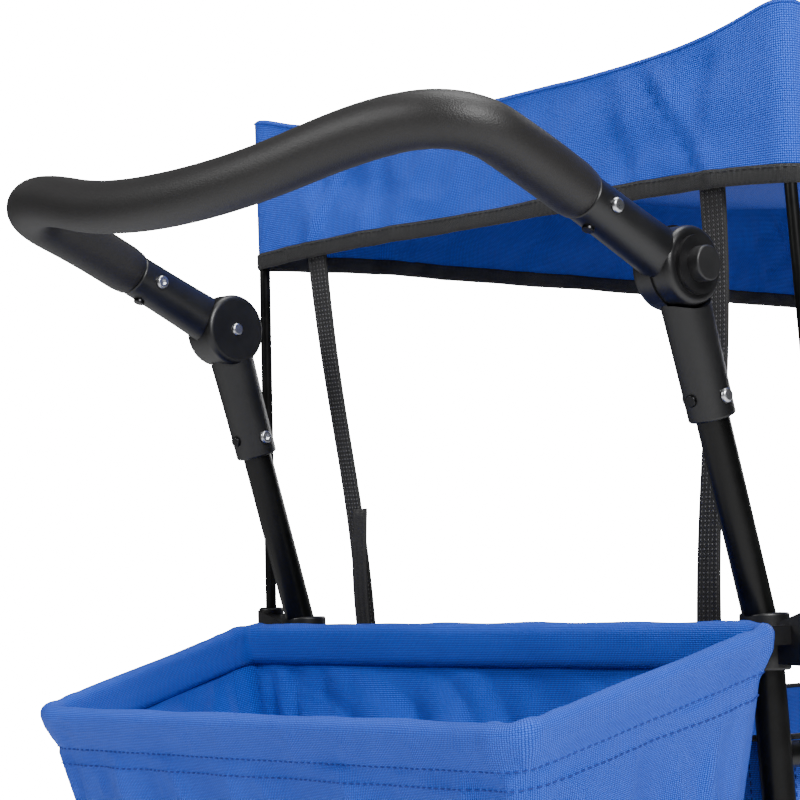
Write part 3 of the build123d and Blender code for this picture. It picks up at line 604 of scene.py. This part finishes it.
def canopy_outline(step=0.0075):
    """Points round the roof's edge, clockwise from above, with their outward directions."""
    hx, hy = CANOPY_HALF
    r = CORNER_RADIUS
    line = []
    corners = [(hx, hy), (hx, -hy), (-hx, -hy), (-hx, hy)]
    turns = [(90, 0), (0, -90), (-90, -180), (180, 90)]
    for (cx, cy), (a, b) in zip(corners, turns):
        mx, my = cx - math.copysign(r, cx), cy - math.copysign(r, cy)
        for t in np.linspace(math.radians(a), math.radians(b), 9):
            line.append((mx + r * math.cos(t), my + r * math.sin(t), 0.0))
    line = resample(np.array(line), step, closed=True)
    return line, outward(line)


def valance_swell(x, y, fall):
    """How far the hanging edge stands out, fall from 0 at the roof to 1 at the hem."""
    corner = math.hypot(abs(x) - CANOPY_HALF[0], abs(y) - CANOPY_HALF[1])
    free = 1 - math.exp(-((corner / 0.05) ** 2))
    grow = min(1.0, fall * 6)
    swell = -0.003 * math.sin(math.pi * fall) * free
    swell += 0.006 * ripple((x, y, 0.16 * fall), 0.085, 4.0) * free * grow
    swell += 0.0014 * crinkle((x + 0.3 * fall * y, y, 0.10 * fall), 0.05, 5.0) * free * grow
    for reach, slant, spread, height in CREASES:
        off = corner - reach + slant * fall
        fold = hump(off, 0.0, spread) - 0.6 * hump(off, 1.6 * spread, spread)
        swell += height * fold * grow * (1 - 0.35 * fall)
    return swell


def canopy_shell(paint):
    """Roof and hanging edges as one sheet."""
    line, out = canopy_outline()
    count = len(line)
    rows = []
    for k in range(RING_STEPS + 1):
        share = 1 - (1 - k / RING_STEPS) ** 1.35
        ring = []
        for p in line:
            x, y = p[0] * share, p[1] * share
            ring.append((x, y, roof_height(x, y)))
        rows.append(ring)
    for step_out, drop in EDGE_ROWS:
        rows.append(
            [
                (p[0] + o[0] * step_out, p[1] + o[1] * step_out, roof_height(p[0], p[1]) - drop)
                for p, o in zip(line, out)
            ]
        )
    drops = 24
    for k in range(1, drops + 1):
        fall = k / drops
        ring = []
        for p, o in zip(line, out):
            top = roof_height(p[0], p[1]) - EDGE_ROWS[-1][1]
            low = hem_height(p[0], p[1])
            swell = 0.0020 - 0.0008 * fall + valance_swell(p[0], p[1], fall)
            swell = max(-0.008, min(swell, 0.009))
            ring.append((p[0] + o[0] * swell, p[1] + o[1] * swell, top + (low - top) * fall))
        rows.append(ring)
    rows = np.array(rows)
    rows[:, :, 0] += MIDDLE
    piece = sheet_mesh("canopy_cloth", rows, paint["blue"], closed=True)
    mesh = piece.data
    layer = mesh.uv_layers[0].data
    roof_faces = RING_STEPS * count
    for face in mesh.polygons:
        if face.index < roof_faces:
            for loop in face.loop_indices:
                co = mesh.vertices[mesh.loops[loop].vertex_index].co
                layer[loop].uv = (co.x, co.y)
    weld = piece.modifiers.new("weld", "WELD")
    weld.merge_threshold = 1e-5
    settle(piece)
    return thicken(piece, 0.0011), rows, count


def hem_height(x, y):
    """Height of the hanging edge's lower hem."""
    a, b = x / CANOPY_HALF[0], y / CANOPY_HALF[1]
    rise = -0.006 * (a * b) ** 4
    return CANOPY_LOW + 0.001 + rise + 0.002 * ripple((x, y, 0), 0.16, 6.0)


def canopy(paint):
    """Canopy cloth with its bound hem and the seam along its edge."""
    cloth, rows, count = canopy_shell(paint)
    hem = rows[-1]
    out = outward(hem)
    rise = np.linalg.norm(rows[-2] - hem, axis=1)

    def over(height):
        """The cloth's line at a height above its hem."""
        step = height / rise
        low = np.minimum(np.floor(step).astype(int), 5)
        part = (step - low)[:, None]
        spot = np.arange(count)
        return rows[-1 - low, spot] * (1 - part) + rows[-2 - low, spot] * part

    profile = [
        over(TAPE) + out * 0.0009,
        over(TAPE * 0.5) + out * 0.0013,
        over(TAPE * 0.1) + out * 0.0013,
        hem + out * 0.0006 - np.array((0, 0, 0.0010)),
        hem - out * 0.0008 - np.array((0, 0, 0.0014)),
        hem - out * 0.0020 - np.array((0, 0, 0.0008)),
        over(TAPE * 0.1) - out * 0.0026,
        over(TAPE * 0.5) - out * 0.0026,
        over(TAPE) - out * 0.0022,
    ]
    binding = sheet_mesh("canopy_binding", np.array(profile), paint["binding"], closed=True)
    thicken(binding, 0.0005, 0.0)
    seam = over(TAPE * 0.84) + out * 0.0017
    thread = stitches("canopy_binding_stitches", seam, out, paint["dark_thread"], closed=True)
    edge = rows[RING_STEPS + len(EDGE_ROWS)] + np.array((0, 0, 0.0005))
    top_seam = tube("canopy_edge_seam", edge, 0.0011, paint["blue"], sides=8, closed=True)
    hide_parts("canopy")
    for piece in (cloth, binding, thread, top_seam):
        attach(piece, "rear_frame")
        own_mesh(piece)


# ---------------------------------------------------------------- canopy straps

STRAP_WIDTH, STRAP_THICK = 0.025, 0.0015

def strap(paint, name, node, body, front, side, tail):
    """Webbing from the canopy down to its loop round a crossbar."""
    turn = -1 if front else 1
    bar = at(-0.4268 * turn, 0.1935 * side, 0.560)
    low = at(-0.4147 * turn, 0.1935 * side, 0.560)
    high = at(-0.434 * turn, 0.229 * side, 0.957)
    path = []
    for t in np.linspace(0, 1, 40):
        bow = math.sin(math.pi * t)
        drift = np.array((turn * 0.004 * bow, side * 0.004 * math.sin(2 * math.pi * t), 0))
        path.append(high + (low - high) * t + drift)
    across = [np.array((0.18 * math.sin(3.1 * t) * turn, 1.0, 0)) for t in np.linspace(0, 1, 40)]
    piece = ribbon(name, path, across, STRAP_WIDTH, STRAP_THICK, paint["webbing"], crown=0.0012)
    radius = 0.0127
    loop = []
    for a in np.linspace(math.radians(2), math.radians(302), 28):
        loop.append(bar + np.array((turn * radius * math.cos(a), 0, -radius * math.sin(a))))
    loop_piece = ribbon(name + "_loop", loop, (0, 1, 0), STRAP_WIDTH, STRAP_THICK, paint["webbing"])
    edge = []
    for row in range(-2, 3):
        rail = [
            p + row * 0.0045 * a / np.linalg.norm(a) + np.array((-turn * 0.0009, 0, 0))
            for p, a in zip(path, across)
        ]
        thread = stitches(
            f"{name}_stitches_{row + 3}",
            rail,
            (-turn, 0, 0),
            paint["pale_thread"],
            length=0.0014,
            gap=0.0022,
            radius=0.00045,
        )
        edge.append(thread)
    parts = [loop_piece, *edge]
    if tail:
        hang = []
        for t in np.linspace(0, 1, 20):
            off = 0.0035 + 0.006 * math.sin(math.pi * t)
            drift = np.array((-turn * off, side * -0.012 * (1 - 0.4 * t), 0))
            hang.append(path[24] * (1 - t) + path[39] * t + drift)
        flap = ribbon(name + "_tail", hang, (0.25, 1, 0), STRAP_WIDTH, STRAP_THICK, paint["webbing"])
        parts.append(flap)
    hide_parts(node)
    for part in [piece, *parts]:
        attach(part, body)


def straps(paint):
    """The four canopy straps."""
    for side, word in ((1, "left"), (-1, "right")):
        strap(paint, f"strap_rear_{word}", f"canopy_strap_rear_{word}", "rear_frame", False, side, side > 0)
        strap(paint, f"strap_front_{word}", "canopy_straps_front", "front_frame", True, side, False)


# ---------------------------------------------------------------- basket

RIM_FRONT, RIM_REAR = (-0.467, 0.300, 0.607), (-0.701, 0.275, 0.548)
BASKET_FLOOR = (-0.568, 0.378)
FLOOR_HALF = (0.0935, 0.2485)
SLEEVE = 0.027  # how far the sleeve round the rim rod reaches down the wall


def rim_line(step=0.006):
    """The rim rod's centre line, clockwise from above starting on the left."""
    (fx, fy, fz), (rx, ry, rz) = RIM_FRONT, RIM_REAR
    corners = [at(fx, fy, fz), at(fx, -fy, fz), at(rx, -ry, rz), at(rx, ry, rz)]
    line, radius = [], 0.020
    for i, corner in enumerate(corners):
        before = corners[i - 1] - corner
        after = corners[(i + 1) % 4] - corner
        before, after = before / np.linalg.norm(before), after / np.linalg.norm(after)
        a, b = corner + before * radius, corner + after * radius
        for t in np.linspace(0, 1, 6):
            line.append((1 - t) ** 2 * a + 2 * t * (1 - t) * corner + t * t * b)
    return resample(np.array(line), step, closed=True)


def basket(paint):
    """Tapered bag hung from the rim rod, sewn into a sleeve round it."""
    line = rim_line()
    count = len(line)
    out = outward(line)
    fx, half_x, half_y = BASKET_FLOOR[0], *FLOOR_HALF
    middle_x = (RIM_FRONT[0] + RIM_REAR[0]) / 2
    foot = []
    for p in line:
        x = (p[0] - MIDDLE - middle_x) / (abs(RIM_REAR[0] - RIM_FRONT[0]) / 2)
        y = p[1] / 0.29
        x, y = max(-1, min(1, x)), max(-1, min(1, y))
        foot.append(at(fx + half_x * x, half_y * y, BASKET_FLOOR[1]))
    foot = np.array(foot)
    corner_spots = [at(x, side * y, 0)[:2] for x, y, _ in (RIM_FRONT, RIM_REAR) for side in (1, -1)]
    corner = np.array([min(np.linalg.norm(p[:2] - c) for c in corner_spots) for p in line])
    gather = np.exp(-((corner / 0.032) ** 2))
    down = foot - line
    down /= np.linalg.norm(down, axis=1)[:, None]
    pleat = np.array([math.sin(i * 1.5) for i in range(count)]) * gather
    rows = []

    def row(sink, push):
        return [line[i] + down[i] * sink + out[i] * push for i in range(count)]

    for sink, push in ((SLEEVE, -0.0012), (SLEEVE * 0.75, -0.0034), (SLEEVE * 0.4, -0.0060)):
        rows.append(row(sink, push))
    for a in np.linspace(math.radians(195), math.radians(-15), 9):
        swell = [0.0072 + 0.0014 * ripple(p, 0.05, 7.0) + 0.0011 * k for p, k in zip(line, pleat)]
        rows.append(
            [
                line[i] + out[i] * math.cos(a) * swell[i] + np.array((0, 0, 1)) * math.sin(a) * swell[i]
                for i in range(count)
            ]
        )
    for sink, push in ((SLEEVE * 0.4, 0.0064), (SLEEVE * 0.75, 0.0040), (SLEEVE, 0.0014)):
        rows.append(
            [
                q + o * (0.0016 * k + 0.0022 * crinkle(q, 0.06, 14.0) * (1 - sink / SLEEVE * 0.5))
                for q, o, k in zip(row(sink, push), out, pleat)
            ]
        )
    seam_row = len(rows) - 1
    wall_steps = 34
    for k in range(1, wall_steps + 1):
        fall = k / wall_steps
        ring = []
        for i in range(count):
            start = line[i] + down[i] * SLEEVE + out[i] * 0.0018
            point = start + (foot[i] - start) * fall
            free = 1 - gather[i]
            wave = 0.0095 * ripple((start[0], start[1], 0.45 * point[2]), 0.075, 8.0)
            slanted = (start[0] + 0.5 * point[2], start[1] - 0.4 * point[2], 0.5 * point[2])
            wave += 0.0042 * crinkle(slanted, 0.07, 9.0)
            near = hump(corner[i], 0.0, 0.11)
            wave += 0.0065 * crinkle((start[0], start[1], 0.4 * point[2]), 0.04, 12.0) * near
            sag = 0.004 * math.sin(math.pi * fall)
            tuck = -0.0035 * pleat[i] * (1 - fall)
            taper = math.sin(math.pi * min(1, fall * 0.98 + 0.02)) ** 0.6
            push = (wave * free + sag * free + tuck) * taper
            ring.append(point + out[i] * min(push, 0.012))
        rows.append(ring)
    centre = at(fx, 0, BASKET_FLOOR[1])
    for share in (0.85, 0.6, 0.3, 0.02):
        dip = np.array((0, 0, 0.0015 * (1 - share)))
        rows.append([centre + (f - centre) * np.array((share, share, 1)) - dip for f in foot])
    cloth = sheet_mesh("basket_cloth", rows, paint["blue"], closed=True)
    cloth = thicken(cloth, 0.0013, 0.0)
    rows = np.array(rows)
    threads = []
    for index in (seam_row, seam_row + 3):
        seam = rows[index] + out * 0.0011
        threads.append(stitches(f"basket_stitches_{index}", seam, out, paint["thread"], closed=True))
    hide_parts("basket")
    for piece in (cloth, *threads):
        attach(piece, "rear_frame")


# ---------------------------------------------------------------- body panels and floor

HEM_INSET = 0.016  # from a wall's edge to its stitches
NOTCH_FROM = 0.310  # the floor boards are narrower from here to their ends, to clear the casters
MAT_HALF, MAT_END_HALF = 0.236, 0.188

def wall(paint, name, node, corners, out, ripple_seed, body):
    """Hanging wall panel between four corners, with a sewn hem round it."""
    a, b, c, d = (np.asarray(p, float) for p in corners)
    out = np.asarray(out, float)
    long = np.linalg.norm(b - a)
    tall = np.linalg.norm(d - a)
    nu, nv = max(12, int(long / 0.012)), max(10, int(tall / 0.012))
    rows = []
    for i in range(nv + 1):
        v = i / nv
        row = []
        for j in range(nu + 1):
            u = j / nu
            point = (a * (1 - u) + b * u) * (1 - v) + (d * (1 - u) + c * u) * v
            inside = 0 < u < 1 and 0 < v < 1
            free = math.sin(math.pi * u) ** 0.5 * math.sin(math.pi * v) ** 0.5 if inside else 0.0
            spot = (u * long, v * tall, 0)
            wave = 0.0032 * ripple(spot, 0.12, ripple_seed) + 0.0012 * ripple(spot, 0.04, ripple_seed + 1)
            row.append(point + out * free * wave)
        rows.append(row)
    cloth = sheet_mesh(name, rows, paint["blue"])
    thicken(cloth, 0.0016, 0.0)
    rows = np.array(rows)
    loop = np.concatenate([rows[0], rows[1:, -1], rows[-1, -2::-1], rows[-2:0:-1, 0]])
    hem = resample(loop, 0.006, closed=True)
    inset = []
    for p in hem:
        u = np.clip(np.dot(p - a, b - a) / long**2, HEM_INSET / long, 1 - HEM_INSET / long)
        v = np.clip(np.dot(p - a, d - a) / tall**2, HEM_INSET / tall, 1 - HEM_INSET / tall)
        inset.append((a * (1 - u) + b * u) * (1 - v) + (d * (1 - u) + c * u) * v)
    seam = np.array(inset) + out * 0.0012
    thread = stitches(name + "_stitches", seam, out, paint["thread"], closed=True)
    binding = tube(name + "_binding", hem, 0.0024, paint["binding"], sides=10, closed=True)
    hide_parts(node)
    for piece in (cloth, thread, binding):
        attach(piece, body)
    return [cloth, thread, binding]


def body_panels(paint):
    """Rear, front and side walls of the body."""
    for name, node, body in (
        ("rear_wall", "rear_panel", "rear_frame"),
        ("front_wall", "front_panel", "front_frame"),
    ):
        low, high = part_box(node)
        y = high.y - 0.002
        x_low, x_high = (high.x, low.x) if node == "rear_panel" else (low.x, high.x)
        way = 1 if node == "front_panel" else -1
        x_low += way * 0.003
        x_high -= way * 0.003
        corners = [
            (x_low, -y, low.z + 0.004), (x_low, y, low.z + 0.004),
            (x_high, y, high.z - 0.004), (x_high, -y, high.z - 0.004),
        ]
        wall(paint, name, node, corners, (way, 0, 0), 11.0, body)
    for side, word in ((1, "left"), (-1, "right")):
        low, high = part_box(f"side_panel_{word}")
        y = (low.y + high.y) / 2
        rear_low, rear_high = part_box("rear_panel")
        lean = rear_high.x - rear_low.x
        corners = [
            (low.x + lean * 0.9, y, low.z + 0.004), (high.x - lean * 0.9, y, low.z + 0.004),
            (high.x - 0.003, y, high.z - 0.004), (low.x + 0.003, y, high.z - 0.004),
        ]
        pieces = wall(
            paint,
            f"side_wall_{word}",
            f"side_panel_{word}",
            corners,
            (0, side, 0),
            13.0 + side,
            "rear_frame",
        )
        # Folded, the walls end 45 mm short of the front frame, clear of its crossbars and casters.
        for piece in pieces:
            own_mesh(piece)


def floor_mat(paint, node, body):
    """Stuffed floor board with sewn channels, narrower at its end."""
    low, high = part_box(node)
    nx, ny = 44, 56
    channels = (0.33, 0.67)

    def crown(u, v):
        edge = min(u, 1 - u) * (high.x - low.x), min(v, 1 - v) * (high.y - low.y)
        lift = 1 - math.exp(-min(edge) / 0.018)
        for c in channels:
            lift *= 1 - 0.75 * hump(v, c, 0.012)
        return lift * (1 - 0.75 * hump(u, 0.5, 0.012))

    rows = []
    for top in (False, True):
        for i in range(nx + 1):
            u = i / nx if not top else 1 - i / nx
            row = []
            for j in range(ny + 1):
                v = j / ny
                x = low.x + (high.x - low.x) * u
                half = MAT_END_HALF if abs(x - MIDDLE) > NOTCH_FROM else MAT_HALF
                y = half * (2 * v - 1)
                if top:
                    unevenness = 0.0004 * ripple((x, y, 0), 0.05, 15.0) - 0.0004
                    z = high.z - 0.005 + 0.005 * crown(u, v) + unevenness
                else:
                    z = low.z
                row.append((x, y, z))
            rows.append(row)
    mat = sheet_mesh(node + "_mat", rows, paint["black_cloth"], flip=True)
    mat.data.validate()
    solid_sides(mat)
    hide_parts(node)
    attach(mat, body)


def solid_sides(mat):
    """Closes the open edges of a mat."""
    form = bmesh.new()
    form.from_mesh(mat.data)
    bmesh.ops.remove_doubles(form, verts=form.verts, dist=1e-6)
    edges = [e for e in form.edges if e.is_boundary]
    bmesh.ops.holes_fill(form, edges=edges, sides=0)
    bmesh.ops.recalc_face_normals(form, faces=form.faces)
    form.to_mesh(mat.data)
    form.free()
    mat.data.shade_smooth()


# ---------------------------------------------------------------- carried-over CAD parts


def paint_nodes(paint):
    """Material of every CAD node that stays."""
    rules = [
        ("hinge_pins", "zinc"), ("socket_bolts", "zinc"), ("arm_bolts", "zinc"),
        ("socket_screws", "screw"), ("arm_screws", "screw"),
        ("hinge_button", "button"), ("hinge_socket", "plastic"), ("hinge_arm", "plastic"),
        ("push_bar", "steel"), ("canopy_pole", "steel"), ("pole_bracket", "plastic"),
        ("rear_rim", "grey"), ("front_rim", "grey"), ("rear_tyre", "tyre"), ("front_tyre", "tyre"),
        ("rear_axle", "zinc"), ("rear_wheel_bracket", "plastic"), ("brake_pedal", "plastic"),
        ("caster_fork", "plastic"), ("caster_housings", "plastic"),
        ("pull_tube", "steel"), ("pull_slider", "steel"), ("pull_grip", "plastic"),
    ]
    for name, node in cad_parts.items():
        choice = "steel"
        for start, word in rules:
            if name.startswith(start):
                choice = word
        for spot in node.material_slots:
            spot.material = paint[choice]
        if not node.material_slots:
            node.data.materials.append(paint[choice])


make_camera()
paint = make_materials()
make_studio()
paint_nodes(paint)
push_grip(paint)
canopy(paint)
straps(paint)
basket(paint)
body_panels(paint)
floor_mat(paint, "floor_board_rear", "floor_rear")
floor_mat(paint, "floor_board_front", "floor_front")
